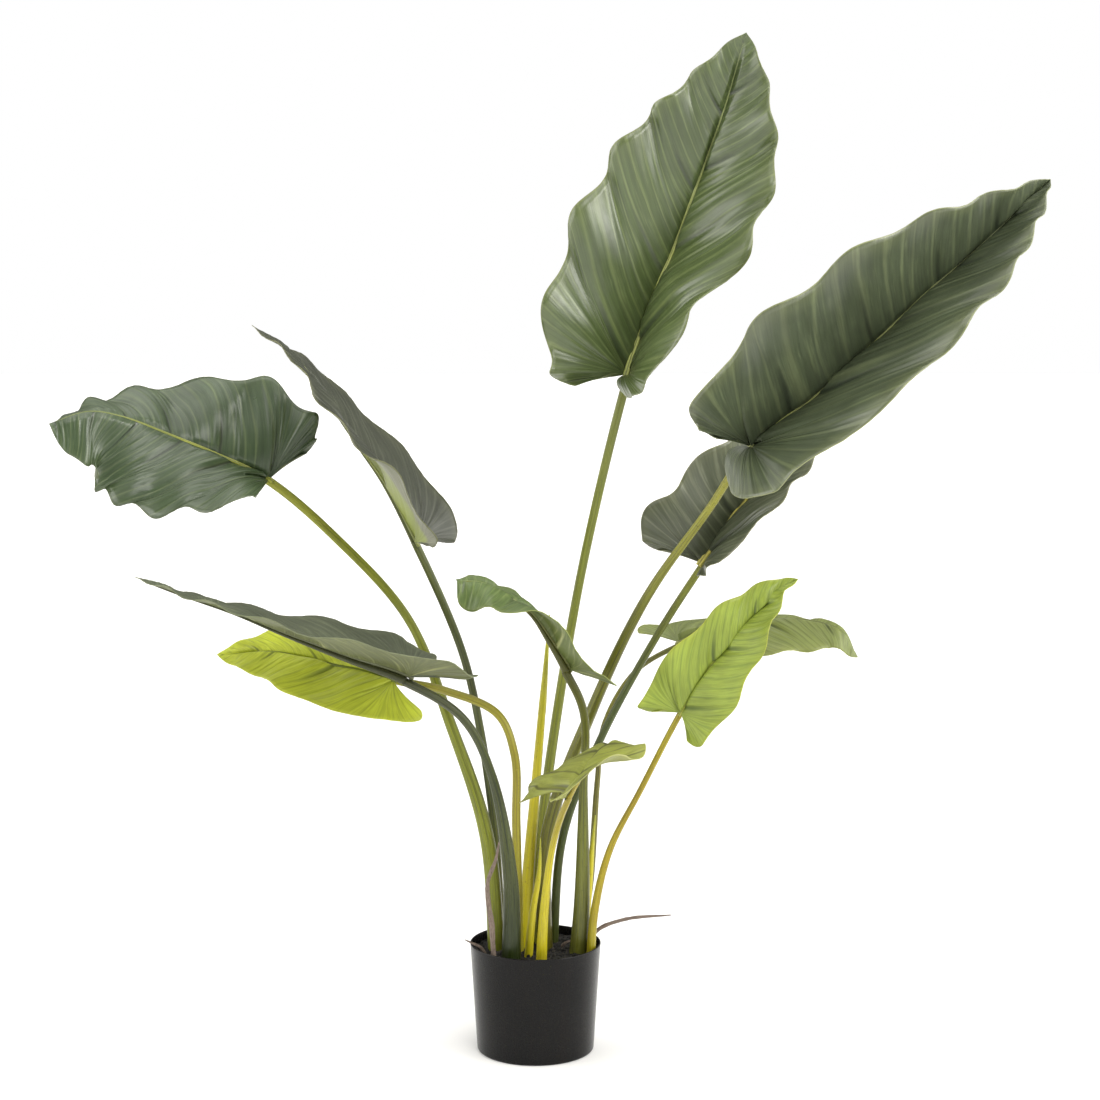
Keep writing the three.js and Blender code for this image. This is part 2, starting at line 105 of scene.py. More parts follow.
# The raised double midrib (bead) on the face and the round keel underneath
BEAD_REACH = (-0.02, 0.97)
BEAD_STATIONS = 90
BEAD_SIDES = 18
BEAD_TIP = 0.4
BEAD_TAPER = 1.2
BEAD_HEIGHT = 0.7
BEAD_GROOVE = 0.6
BEAD_SINK = 60
BEAD_STAND = 0.15
BEAD_LIMIT = math.radians(78)
KEEL_REACH = (0.002, 0.94)
KEEL_STATIONS = 60
KEEL_SIDES = 16
KEEL_TIP = 0.8
KEEL_TAPER = 2.2
KEEL_TIP_RADIUS = 1.1

# Material slots of a blade
FACE, UNDERSIDE, RIB, KEEL = range(4)

# Rods
STALK_STATIONS = 110
STALK_SIDES = 28
STALK_OVERLAP = 1.0
STALK_GROOVE = 0.16
SPEAR_STATIONS = 120
SPEAR_SIDES = 40
SPEAR_STEP = 0.14
ROOT_STEP = 0.8
ROOT_SIDES = 16
LUMP_STEP = 5
LUMPS = (0.9, 1.12)
ROOT_ROUGHNESS = 0.015

# Half of a leaf's outline: its lobe from the notch at the stalk to the side, and the rest to the tip.
# x counts in half-widths and y in midrib lengths.
LOBES = {
    "usual": [(0, 0), (0.18, -0.01), (0.34, -0.045), (0.52, -0.082), (0.7, -0.085), (0.85, -0.045),
              (0.96, 0.04)],
    "round": [(0, 0), (0.02, -0.045), (0.12, -0.095), (0.33, -0.12), (0.58, -0.105), (0.8, -0.05),
              (0.95, 0.04)],
    "wide": [(0, 0), (0.13, 0.006), (0.32, -0.014), (0.54, -0.06), (0.77, -0.09), (0.96, -0.062),
             (1.03, 0.03)],
}
SIDE_OUTLINE = [(1, 0.16), (0.98, 0.32), (0.88, 0.5), (0.71, 0.66), (0.5, 0.79), (0.28, 0.9), (0.11, 0.97),
                (0, 1)]

# Each leaf: stalk points from the soil to the blade, then midrib points to the tip. radii are the stalk's
# at the soil and at the blade. Pairs are left and right half: half-width, lobe factor and shape, fold and
# curl in degrees towards the facing side, fullness, sweep of the lateral veins' ends towards the tip, and
# depth of the margin's waves and scallops. slope: how far a lateral vein leans towards the tip on its way
# out. calm: share of a half's outline, from the notch, over which its waves fade in. wrap: how far its lobe
# bulges back round the stalk. lobe_lift: degrees by which both lobes rise. bead: width of the double
# midrib in stalk radii. sheath: share of the stalk over which it narrows.
USUAL_LEAF = dict(
    lobe_shape=("usual", "usual"), facing=FACING_FRONT, fullness=(1, 1), sweep=(0, 0),
    calm=(0.24, 0.24), wrap=(0, 0), lobe_lift=0, bead=0.7, sheath=0.62, slope=1.2, curl=(-10, -10),
    ruffle=(2.5, 2.5), scallop=(0.03, 0.03),
)
LEAF_PLANS = [
    dict(name="leaf_01", slots=("leaf_dark", "stalk_olive"), radii=(6.5, 5),
         stalk=[(-6, 30, 95), (6, 38, 240), (24, 48, 376), (56, 60, 560), (107, 62, 774)],
         midrib=[(132, 60, 849), (159, 52, 919), (185, 42, 993), (211, 26, 1069), (233, 0, 1151)],
         half_width=(127, 132), lobe=(0.8, 0.5), lobe_shape=("usual", "round"), wrap=(0, 13),
         fold=([43, 33, 24, 20, 12], [84, 75, 52, 30, 14]), curl=(-16, -14), waves=9, ruffle=(8, 8),
         scallop=(0.07, 0.055), calm=(0.18, 0.6)),
    dict(name="leaf_02", slots=("leaf_dark", "stalk_olive"), radii=(9.5, 4.5), sheath=0.85,
         stalk=[(11, 8, 95), (14, 0, 249), (63, -20, 395), (124, -45, 529), (193, -70, 633), (236, -85, 700)],
         midrib=[(298, -95, 750), (358, -100, 805), (420, -100, 865), (472, -95, 910), (554, -80, 986)],
         half_width=(130, 134), lobe=(0.4, 0.85), lobe_shape=("usual", "round"), wrap=(0, 20),
         fold=([60, 51, 52, 58, 62], [70, 71, 66, 60, 58]), curl=(-14, -14), slope=0.85, sweep=(-0.06, 0.06),
         waves=9, ruffle=(5, 5), scallop=(0.06, 0.045), calm=(0.3, 0.5), bead=0.42),
    dict(name="leaf_03", slots=("leaf_dark", "stalk_green"), radii=(5.5, 4.5),
         stalk=[(20, 36, 95), (32, 38, 240), (74, 48, 349), (141, 62, 471), (195, 75, 553)],
         midrib=[(216, 80, 583), (239, 86, 618), (264, 92, 650), (308, 98, 699), (349, 100, 749)],
         half_width=(88, 86), lobe=(0.85, 0.6), lobe_shape=("wide", "round"),
         fold=([20, 34, 44, 46, 42], [88, 78, 70, 60, 50]), curl=(-12, -12), slope=0.85, sweep=(-0.05, 0.06),
         waves=8, ruffle=(4, 4), scallop=(0.05, 0.045), bead=0.95),
    dict(name="leaf_04", slots=("leaf_dark", "stalk_olive"), radii=(10, 5),
         stalk=[(-43, 2, 95), (-56, 10, 247), (-99, 33, 376), (-147, 52, 492), (-231, 60, 586),
                (-308, 60, 652)],
         midrib=[(-369, 55, 683), (-415, 45, 704), (-469, 25, 727), (-503, 10, 733), (-544, -5, 720)],
         half_width=(105, 101), lobe=(0.02, 0.9), fold=([76, 50, 22, 0, -5], [16, -4, -43, -64, -76]),
         curl=(-10, -14), slope=0.9, fullness=(0.42, 1), sweep=(0.06, -0.06), waves=10, ruffle=(3, 4),
         scallop=(0.06, 0.07), bead=0.5),
    dict(name="leaf_05", slots=("leaf_dark", "stalk_green"), radii=(5, 4.5),
         stalk=[(-38, 24, 95), (-47, 26, 243), (-63, 24, 365), (-84, 22, 459), (-137, 18, 585)],
         midrib=[(-172, 10, 654), (-196, 5, 690), (-230, -5, 742), (-262, -15, 790), (-313, -25, 830)],
         half_width=(94, 94), lobe=(0.15, 1.0), lobe_shape=("usual", "wide"),
         fold=([108, 104, 92, 84, 80], [-54, -60, -69, -78, -84]), curl=(-8, -6), slope=1.1, waves=8,
         ruffle=(3, 1.5), scallop=(0.03, 0.012)),
    dict(name="leaf_06", slots=("leaf_dark", "stalk_green"), radii=(12, 5),
         stalk=[(-27, -36, 95), (-28, -40, 213), (-50, -55, 337), (-81, -68, 399), (-142, -85, 441)],
         midrib=[(-203, -95, 465), (-270, -105, 493), (-325, -112, 518), (-377, -118, 538),
                 (-430, -122, 560)],
         half_width=(96, 98), lobe=(2.1, 1.2), lobe_lift=12, facing=FACING_UP,
         fold=([26, 20, 14, 10, 8], [22, 18, 8, 0, -4]), curl=(-8, -8), slope=0.8, fullness=(1, 0.75),
         waves=8, ruffle=(3, 1.5), scallop=(0.035, 0.03)),
    dict(name="leaf_07", slots=("leaf_lime", "stalk_yellow"), radii=(5.5, 4.5),
         stalk=[(-19, -8, 95), (-22, -12, 265), (-24, -14, 347), (-43, -12, 392), (-103, -2, 417),
                (-161, 10, 427)],
         midrib=[(-201, 18, 438), (-233, 23, 443), (-268, 26, 451), (-295, 28, 457), (-366, 34, 453)],
         half_width=(63, 44), lobe=(2.6, 0.8), fold=([38, 40, 40, 38, 34], [-24, -22, -22, -24, -24]),
         curl=(-8, -8), sweep=(0.04, 0), waves=6),
    dict(name="leaf_08", slots=("leaf_mid", "stalk_olive"), radii=(11, 4.5),
         stalk=[(47, -8, 95), (52, -12, 162), (54, -25, 298), (54, -45, 400), (34, -60, 448)],
         midrib=[(14, -70, 483), (-6, -80, 514), (-32, -90, 535), (-59, -98, 551), (-84, -106, 554)],
         half_width=(50, 52), lobe=(3, 3), lobe_lift=35, facing=FACING_UP,
         fold=([5, 5, 0, -28, -80], [24, 24, 15, 6, 0]), curl=(0, 0), slope=1.0, fullness=(0.25, 0.5),
         waves=5, ruffle=(1.5, 1.5)),
    dict(name="leaf_09", slots=("leaf_lime", "stalk_yellow"), radii=(5.5, 3.5),
         stalk=[(62, -18, 95), (67, -22, 165), (84, -32, 240), (118, -45, 312), (162, -60, 403)],
         midrib=[(191, -66, 451), (213, -68, 479), (239, -66, 508), (265, -60, 534), (291, -55, 551)],
         half_width=(48, 52), lobe=(0.9, 1.2), lobe_shape=("wide", "usual"),
         fold=([16, 28, 30, 24, 5], [38, 36, 42, 60, 80]), sweep=(0.03, -0.03), waves=6, ruffle=(4, 3),
         scallop=(0.09, 0.07), bead=0.4),
    dict(name="leaf_10", slots=("leaf_mid", "stalk_olive"), radii=(5, 3),
         stalk=[(46, 35, 95), (62, 38, 176), (72, 60, 301), (80, 75, 364), (117, 92, 424), (170, 105, 454)],
         midrib=[(218, 110, 471), (279, 112, 481), (319, 112, 481), (360, 110, 469), (380, 108, 438)],
         half_width=(62, 62), lobe=(1.8, 0.7), lobe_lift=22, facing=FACING_UP,
         fold=([20, 5, 0, -5, -5], [-5, -24, -33, -44, -44]), fullness=(1, 0.8), sweep=(0, 0.04), waves=6,
         scallop=(0.03, 0.04)),
    dict(name="leaf_11", slots=("leaf_lime", "stalk_yellow"), radii=(6.5, 3.5),
         stalk=[(6, -42, 95), (10, -62, 176), (20, -100, 262), (37, -150, 325)],
         midrib=[(56, -125, 351), (71, -98, 366), (83, -75, 368), (95, -50, 356)],
         half_width=(108, 70), lobe=(0.8, 0.1), facing=(-0.1, -0.3, 1), fold=([-28, -27, -26], [54, 16, 0]),
         slope=0.6, waves=5, bead=0.45),
]

# Rolled young leaves and aerial roots: points from the soil to the tip, and radii along them
SPEAR_PLANS = [
    dict(name="spear_01", points=[(-15, 12, 95), (-7, 12, 216), (3, 12, 335), (11, 10, 434), (16, 8, 503)],
         radii=[8, 7.2, 5.6, 4.4, 0.7]),
    dict(name="spear_02", points=[(-9, -25, 95), (-3, -25, 165), (4, -22, 209), (6, -20, 251)],
         radii=[5, 4.5, 3.4, 0.6]),
    dict(name="spear_03", points=[(56, 20, 95), (61, 22, 168), (65, 24, 227), (69, 26, 267)],
         radii=[3.6, 3.8, 4, 0.6]),
]
ROOT_PLANS = [
    dict(name="root_01", radii=[3.2, 2.8, 3.2, 2.4, 2.2, 0.8],
         points=[(-46, -41, 97), (-49, -46, 156), (-53, -50, 187), (-53, -53, 208), (-44, -60, 236),
                 (-40, -66, 257)]),
    dict(name="root_02", radii=[1.9, 1.9, 1.8, 1.6, 0.6],
         points=[(-54, -22, 100), (-56, -22, 114), (-62, -22, 124), (-71, -22, 129), (-80, -21, 133)]),
    dict(name="root_03", radii=[2.3, 2.3, 2.1, 1.7, 0.7],
         points=[(60, 5, 100), (62, 5, 118), (71, 7, 136), (103, 8, 149), (156, 8, 154)]),
    dict(name="root_04", radii=[2, 2, 1.8, 0.7],
         points=[(29, 13, 100), (30, 13, 114), (36, 11, 121), (42, 14, 122)]),
]

# Soil and pot
SOIL_TOP = 115.0
SOIL_RIPPLE = 1.6
SOIL_ROUGHNESS = 0.45
SOIL_GAP = 0.6
SOIL_FACETS = 96
SOIL_RINGS = 30
GRANULES = 1500
GRANULE_SIZES = [0.7, 1.0, 1.5, 2.2]
GRANULE_SHARES = [0.35, 0.35, 0.22, 0.08]
POT_WALL = 1.8
POT_FLOOR = 3.0
POT_CORNER = 3.0
POT_FACETS = 144
POT_TAPER = 8.0

# Looks of the leaves: colours, roughness and the count of pale or dark veins in one panel. gloss is the
# specular level, vein the strength of the vein lines, and base a paler colour that the underside has near
# the stalk.
# The dark colour of each look paints the fine dark lines, and is also painted shade in the blade's creases
# and in the midrib's groove.
LOOK_VALUES = "blade stripe crease margin under under_vein rib roughness stripes gloss vein base"
Look = namedtuple("Look", LOOK_VALUES, defaults=(0.8, 0.36, None))
LOOKS = {
    "leaf_01": Look(0x48562E, 0x7A8652, 0x2E3823, 0x7C844C, 0x5E683F, 0x868C5C, 0xB0B665, 0.34, 6),
    "leaf_02": Look(0x444D37, 0x717A56, 0x20271C, 0x8E9462, 0x525A3C, 0x7D8456, 0xA6AC64, 0.36, 4),
    "leaf_03": Look(0x474D38, 0x80846A, 0x242A1E, 0x7E8056, 0x585C40, 0x7D8456, 0xCCC04E, 0.36, 5),
    "leaf_04": Look(0x3A4A2E, 0x66724A, 0x1E251A, 0x5A6444, 0x50593E, 0x848A58, 0xA4A83A, 0.32, 5, gloss=0.6),
    "leaf_05": Look(0x34382A, 0x5E6150, 0x2C3024, 0x74764E, 0x7A7C64, 0x94967A, 0x8A9048, 0.4, 6,
                    gloss=0.5, base=0x8F9A45),
    "leaf_06": Look(0x4C5240, 0x6C7258, 0x30362A, 0x7E8464, 0x5C6238, 0x90945E, 0x5A5E40, 0.5, 7, gloss=0.25),
    "leaf_07": Look(0xB2BC38, 0x84902C, 0x5E6C26, 0xB6BC3C, 0xA2AA4A, 0xB4BA60, 0x5E6A28, 0.46, 5,
                    gloss=0.35, vein=0.46),
    "leaf_08": Look(0x4C5E2C, 0x74804A, 0x3E4A28, 0x8C944E, 0x5A662E, 0xA4A872, 0x6E6E3A, 0.42, 6,
                    gloss=0.45),
    "leaf_09": Look(0x88983A, 0x5A6E2C, 0x425426, 0xACB03E, 0x8C964A, 0xA4A85A, 0xA8A848, 0.44, 6,
                    gloss=0.4, vein=0.46),
    "leaf_10": Look(0x727C3E, 0x465224, 0x36421E, 0x9A9E4E, 0x747C44, 0xA4A870, 0x8C8E4E, 0.42, 6,
                    gloss=0.45, vein=0.46),
    "leaf_11": Look(0x848A3C, 0x48491F, 0x34361A, 0xAEB070, 0x909450, 0xA8AA66, 0x34361A, 0.46, 2,
                    gloss=0.35, vein=0.85),
}

# Colours of the stalks: at the soil, in the middle, at the blade, and their streaks
STALKS = {
    "leaf_01": (0x76782A, 0x767C2E, 0x70763A, 0x585E28),
    "leaf_02": (0x5A5618, 0x686A20, 0x8C8A32, 0x424014),
    "leaf_03": (0x464E22, 0x46502A, 0x787C32, 0x363C1E),
    "leaf_04": (0x6A7020, 0x7A8028, 0x989A32, 0x565C20),
    "leaf_05": (0x606228, 0x4E542C, 0x5A6032, 0x2E341E),
    "leaf_06": (0x222C0E, 0x404622, 0x424626, 0x1E2610),
    "leaf_07": (0x8C8624, 0x8E8828, 0x8C8C32, 0x766824),
    "leaf_08": (0x52541E, 0x626624, 0x565620, 0x42461A),
    "leaf_09": (0x8E8618, 0x948618, 0x8E861C, 0x6E5A18),
    "leaf_10": (0x342E1C, 0x6E6C2C, 0x6E7032, 0x3A341A),
    "leaf_11": (0xAAA01C, 0xAAA01C, 0x8C8230, 0x8C7C1A),
}

# Colours of the rest
SPEAR_YELLOW = 0xB2A810
SPEAR_TIP = 0xA0A228
SPEAR_VEIN = 0x86781A
SPEAR_FLECK = 0x7A6420
ROOT_DARK = 0x4E4138
ROOT_PALE = 0x8C7C70
SOIL_DARK = 0x151412
SOIL_PALE = 0x403B35
POT_DARK = 0x050505
POT_CLOUD = 0x0B0A0A
POT_SPECK = 0x18191A
POT_FLOW = 0x140E0B


# Small helpers

def linear(hex_colour):
    """A display colour such as 0x4A6234 as the linear colour that shaders take."""
    channels = [(hex_colour >> shift & 255) / 255 for shift in (16, 8, 0)]
    return tuple(c / 12.92 if c <= 0.04045 else ((c + 0.055) / 1.055) ** 2.4 for c in channels) + (1.0,)


def unit(vectors):
    return vectors / np.maximum(np.linalg.norm(vectors, axis=-1, keepdims=True), 1e-9)


def smooth(low, high, x):
    t = np.clip((x - low) / (high - low), 0, 1)
    return t * t * (3 - 2 * t)


def eased_list(values, t):
    """A short list of values spread evenly over 0 to 1, read with eased steps."""
    values = np.asarray(values, float)
    place = np.clip(t, 0, 1) * (len(values) - 1)
    first = np.minimum(place.astype(int), len(values) - 2)
    ease = smooth(0, 1, place - first)
    return values[first] * (1 - ease) + values[first + 1] * ease


class Route:
    """A centripetal Catmull-Rom curve through points, read by length along it."""

    def __init__(self, points, steps=24):
        p = [np.array(q, float) for q in points]
        p = [2 * p[0] - p[1]] + p + [2 * p[-1] - p[-2]]
        t = np.arange(steps)[:, None] / steps
        spans = []
        for a, b, c, d in zip(p, p[1:], p[2:], p[3:]):
            before, span, after = (math.sqrt(np.linalg.norm(q - r)) for q, r in ((b, a), (c, b), (d, c)))
            leave = ((b - a) / before - (c - a) / (before + span) + (c - b) / span) * span
            arrive = ((c - b) / span - (d - b) / (span + after) + (d - c) / after) * span
            spans.append((2 * t**3 - 3 * t**2 + 1) * b + (t**3 - 2 * t**2 + t) * leave
                         + (-2 * t**3 + 3 * t**2) * c + (t**3 - t**2) * arrive)
        self.points = np.concatenate(spans + [p[-2][None]])
        steps_long = np.linalg.norm(np.diff(self.points, axis=0), axis=1)
        self.lengths = np.concatenate([[0], np.cumsum(steps_long)])
        self.length = self.lengths[-1]
        self.knots = self.lengths[::steps]

    def at(self, s):
        return np.stack([np.interp(s, self.lengths, column) for column in self.points.T], -1)

    def along(self, s):
        reach = 2.0
        ahead = self.at(np.minimum(s + reach, self.length))
        return unit(ahead - self.at(np.maximum(s - reach, 0)))


def new_object(name, data):
    thing = bpy.data.objects.new(name, data)
    bpy.context.scene.collection.objects.link(thing)
    return thing


class Builder:
    """Collects closed sections of one piece, with four pattern values at each face corner."""

    def __init__(self):
        self.sections = []
        self.count = 0

    def add(self, points, faces, values, slot, is_smooth=True):
        """slot and is_smooth hold for all these faces, or have a value for each face."""
        slots, smooth_faces = (np.broadcast_to(value, len(faces)) for value in (slot, is_smooth))
        self.sections.append((points, faces + self.count, values, slots, smooth_faces))
        self.count += len(points)

    def build(self, name, materials, node):
        """The piece stands for the CAD node, which it hides, and rides on the only body."""
        points, faces, values, slots, smooth_faces = map(np.concatenate, zip(*self.sections))
        mesh = bpy.data.meshes.new(name)
        mesh.from_pydata((points * MM).tolist(), [], faces.tolist())
        for map_name, pair in (("Pattern", values[..., :2]), ("Place", values[..., 2:])):
            corners = mesh.uv_layers.new(name=map_name).data
            corners.foreach_set("uv", pair.reshape(-1).astype(np.float32))
        mesh.polygons.foreach_set("material_index", slots.astype(np.int32))
        mesh.polygons.foreach_set("use_smooth", smooth_faces)
        for material in materials:
            mesh.materials.append(material)
        mesh.update()
        piece = new_object(name, mesh)
        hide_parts(node)
        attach(piece, "root")


def grid_corners(rows, columns):
    """Row and column numbers of the corners of every triangle of a grid of quads."""
    i, j = (a.reshape(-1, 1) for a in np.indices((rows, columns)))
    return (np.concatenate([i + (0, 0, 1), i + (0, 1, 1)]),
            np.concatenate([j + (0, 1, 1), j + (0, 1, 0)]))


def closed_tube(rings, sides):
    """Grid corners and faces of a tube of rings, closed by a fan at each end round one more point."""
    i, j = grid_corners(rings - 1, sides)
    ring = np.arange(sides)
    turned = (ring + 1) % sides
    last = (rings - 1) * sides
    centre = np.full(sides, rings * sides)
    start = np.stack([centre, turned, ring], -1)
    end = np.stack([centre + 1, last + ring, last + turned], -1)
    return i, j, np.concatenate([i * sides + j % sides, start, end])[:, ::-1]


def vertex_normals(points, faces):
    a, b, c = points[faces.T]
    normals = np.zeros_like(points)
    for corner in faces.T:
        np.add.at(normals, corner, np.cross(b - a, c - a))
    return unit(normals)


# Rods: stalks, ribs, rolled leaves and roots

def add_rod(builder, route, stations, section, slot, up_hint=None, offset=0):
    """A closed rod along a route. section gives, for each station, the ring of (across, up) offsets."""
    rings, sides = section.shape[:2]
    along = route.along(stations)
    centres = route.at(stations) + offset
    across = np.zeros((rings, 3))
    hint = np.array([1.0, 0, 0])
    for k in range(rings):
        if up_hint is not None:
            hint = np.cross(along[k], up_hint[k])
        hint = unit(hint - along[k] * hint.dot(along[k]))
        across[k] = hint
    up = np.cross(across, along)
    ring_points = centres[:, None] + across[:, None] * section[..., :1] + up[:, None] * section[..., 1:]
    points = np.concatenate([ring_points.reshape(-1, 3), centres[:1], centres[-1:]])

    i, j, faces = closed_tube(rings, sides)
    angle = j * TURN / sides
    share = (stations - stations[0]) / (stations[-1] - stations[0])
    values = np.stack([np.cos(angle), np.sin(angle), stations[i], share[i]], -1)
    caps = np.repeat([(0, 0, stations[0], 0), (0, 0, stations[-1], 1)], 3 * sides, 0)
    builder.add(points, faces, np.concatenate([values[:, ::-1], caps.reshape(-1, 3, 4)]), slot)


def ring_angles(sides):
    return np.arange(sides) * TURN / sides


def circle_offsets(radius):
    """Ring offsets from radii given for each station and angle."""
    angle = ring_angles(radius.shape[1])
    return np.stack([np.cos(angle) * radius, np.sin(angle) * radius], -1)


def radii_along(plan, t):
    """A plan's radii, spread evenly over its rod and read at t, as one column."""
    return np.interp(t, np.linspace(0, 1, len(plan["radii"])), plan["radii"])[:, None]


def make_rod(route, stations, radius, material, name, node):
    """A piece that is one rod, with a radius for each station and angle."""
    builder = Builder()
    add_rod(builder, route, stations, circle_offsets(radius), 0)
    builder.build(name, [material], node)


# Blades

class Blade:
    """One leaf's blade: its midrib route, its frame there and the smooth surface of its halves."""

    def __init__(self, plan):
        plan = {**USUAL_LEAF, **plan}
        self.plan = plan
        self.route = Route(plan["stalk"] + plan["midrib"])
        self.attach = self.route.knots[len(plan["stalk"]) - 1]
        self.length = self.route.length - self.attach
        self.base_outline = Route(LOBES["usual"] + SIDE_OUTLINE)
        self.outlines = [Route([(x, y * lobe if y < 0 else y) for x, y in LOBES[shape] + SIDE_OUTLINE])
                         for lobe, shape in zip(plan["lobe"], plan["lobe_shape"])]
        self.mean_width = sum(plan["half_width"]) / 2
        self.columns = COLUMNS["small" if plan["waves"] < WAVES_OF_BIG_LEAF else "big"]
        self.rows = ROWS_PER_WAVE * plan["waves"]
        self.panel_share = rng.uniform(*PANEL_SHARES, (2, plan["waves"] + 3))
        self.ripples = [(count, rng.uniform(), rng.uniform(-RIPPLE_BEND, RIPPLE_BEND))
                        for count in RIPPLES_PER_PANEL]

    def stalk_radius(self, t):
        low, high = self.plan["radii"]
        return low + (high - low) * np.minimum(1, t / self.plan["sheath"])

    def lift(self, y):
        """Height of the blade's middle over the midrib route."""
        high = self.plan["radii"][1] + SEAT_GAP + CAD_BLADE_THICKNESS / 2
        return high + (KEEL_TIP_RADIUS - high) * np.clip(y, 0, 1)

    def axes(self, y):
        """Point on the midrib route, and the directions along, up and to the right there."""
        s = self.attach + np.maximum(y, 0) * self.length
        along = self.route.along(s)
        facing = unit(np.array(self.plan["facing"], float))
        up = unit(facing - along * (along @ facing)[..., None])
        return self.route.at(s), along, up, np.cross(along, up)

    def vein_start(self, u):
        """Where the lateral vein of row u leaves the midrib: the first rows fan out from the stalk."""
        edge = self.base_outline.at(u * self.base_outline.length)
        start = edge[..., 1] - self.plan["slope"] * edge[..., 0] * self.mean_width / self.length
        return np.where(start < FAN_LIMIT, 0, start)

    def phase(self, side, u):
        return TURN * self.plan["waves"] * u + (0 if side else LEFT_PHASE)

    def surface(self, side, u, v):
        """Points of a half's smooth surface, and their place along the midrib."""
        plan = self.plan
        swept = u + 4 * plan["sweep"][side] * u * (1 - u)
        edge = self.outlines[side].at(swept * self.outlines[side].length)
        edge_x = np.maximum(edge[..., 0], 0)
        edge_y = edge[..., 1]
        reach = np.where(edge_y > OUTLINE_WIDEST, edge_x ** plan["fullness"][side], edge_x)
        phase = self.phase(side, u)
        fade = np.minimum(1, u / plan["calm"][side]) ** 2 * np.minimum(1, (1 - u) / TIP_CALM)
        reach = reach * (1 + plan["scallop"][side] * fade * np.sin(phase + SCALLOP_LEAD))

        start = self.vein_start(u)
        y = start + (edge_y - start) * (VEIN_BOW * v + (1 - VEIN_BOW) * v * v)
        width = plan["half_width"][side]
        d = reach * width * v
        fold = np.radians(eased_list(plan["fold"][side], np.maximum(y, 0)))
        curl = math.radians(plan["curl"][side]) * (d / width)
        wave = plan["ruffle"][side] * v ** RUFFLE_GROWTH * fade * np.sin(phase)
        outward = d * np.cos(fold + curl / 2) - wave * np.sin(fold + curl)
        upward = d * np.sin(fold + curl / 2) + wave * np.cos(fold + curl) + self.lift(y)

        centre, along, up, right = self.axes(y)
        sign = 1 if side else -1
        back = np.maximum(-y, 0) * self.length
        lobe_lift = math.radians(plan["lobe_lift"])
        point = centre + right * (sign * outward)[..., None] + up * upward[..., None]
        point += (up * math.sin(lobe_lift) - along * math.cos(lobe_lift)) * back[..., None]
        deepest = -self.length * plan["lobe"][side] * min(y for _, y in LOBES[plan["lobe_shape"][side]])
        bulge = np.sin(math.pi * np.minimum(back / deepest, 1)) * np.maximum(1 - d / width, 0) ** 2
        point -= right * (sign * plan["wrap"][side] * bulge)[..., None]
        return point, y

    def relief(self, side, u, v, spacing, distance):
        """Height of the surface over the smooth blade: tilted panels between creases, and fine ripples."""
        turn = self.panel(side, u)
        f = turn % 1
        share = self.panel_share[side][turn.astype(int) + 1]
        arch = 3.0 * f ** 0.5 * (1 - f) ** 1.3 * share
        rise = smooth(0, 0.08 * self.mean_width, distance) * (1 - 0.9 * smooth(0.15, 0.9, v))
        depth = np.minimum(PANEL_DEPTH, PANEL_SLOPE * spacing)
        ripple = sum(np.sin(TURN * (count * turn + start) + bend * v) for count, start, bend in self.ripples)
        ripple_depth = np.minimum(RIPPLE_DEPTH, RIPPLE_SLOPE * spacing)
        ripple_depth = ripple_depth * smooth(0, 12, distance) * (1 - 0.6 * v)
        return depth * arch * rise + ripple_depth * ripple

    def panel(self, side, u):
        """Count of creases passed: whole numbers lie on the creases, which end on the margin's crests."""
        return self.phase(side, u) / TURN + (SCALLOP_LEAD - math.pi / 2) / TURN

    def add_sheet(self, builder):
        """The blade's two halves as one closed sheet: face, underside and the rim between them."""
        rows, columns = self.rows, self.columns
        u, v = np.meshgrid(np.linspace(SINUS_START, 1, rows + 1),
                           np.linspace(0, 1, columns + 1) ** COLUMN_GROWTH, indexing="ij")
        midrib_index = np.cumsum(self.vein_start(u[:, 0]) > 0)
        midrib_index[-1] = midrib_index[-2] + 1
        count = midrib_index[-1] + 1
        middle = np.zeros((count, 3))
        points, heights = [middle], [np.zeros(count)]
        indices, faces, values = [], [], []
        at = grid_corners(rows, columns)
        for side in (0, 1):
            grid, y = self.surface(side, u, v)
            spacing = np.linalg.norm(np.gradient(grid, axis=0), axis=-1) * ROWS_PER_WAVE
            distance = np.linalg.norm(grid - grid[:, :1], axis=-1)
            height = self.relief(side, u, v, spacing, distance)
            if side == 0:
                middle[midrib_index] = grid[:, 0]
            points.append(grid[:-1, 1:].reshape(-1, 3))
            heights.append(height[:-1, 1:].reshape(-1))

            index = np.full((rows + 1, columns + 1), midrib_index[-1])
            index[:, 0] = midrib_index
            index[:-1, 1:] = count + np.arange(rows * columns).reshape(rows, columns)
            count += rows * columns
            indices.append(index)
            triangle = index[at]
            kept = (triangle != np.roll(triangle, 1, axis=1)).all(1)
            order = [0, 1, 2] if side else [0, 2, 1]
            faces.append(triangle[kept][:, order])
            values.append(np.stack([self.panel(side, u), v, 0 * y, y], -1)[at][kept][:, order])
        points, height, faces, values = map(np.concatenate, (points, heights, faces, values))

        points = points + vertex_normals(points, faces) * height[:, None]
        normals = vertex_normals(points, faces)
        half = BLADE_THICKNESS / 2
        both = np.concatenate([points + normals * half, points - normals * half])
        left, right = indices
        loop = np.concatenate([left[0, :1], right[0, 1:], right[1:, -1], left[:-1, -1][::-1],
                               left[0, 1:-1][::-1]])
        following = np.roll(loop, -1)
        low, low_following = loop + len(points), following + len(points)
        rim = np.concatenate([np.stack([loop, low, low_following], -1),
                              np.stack([loop, low_following, following], -1)])
        rim_values = np.tile((0.5, 1, 0, 0), (len(rim), 3, 1))
        counts = (len(faces), len(faces), len(rim))
        builder.add(both, np.concatenate([faces, faces[:, ::-1] + len(points), rim]),
                    np.concatenate([values, values[:, ::-1], rim_values]),
                    np.repeat([FACE, UNDERSIDE, FACE], counts), np.repeat([True, True, False], counts))

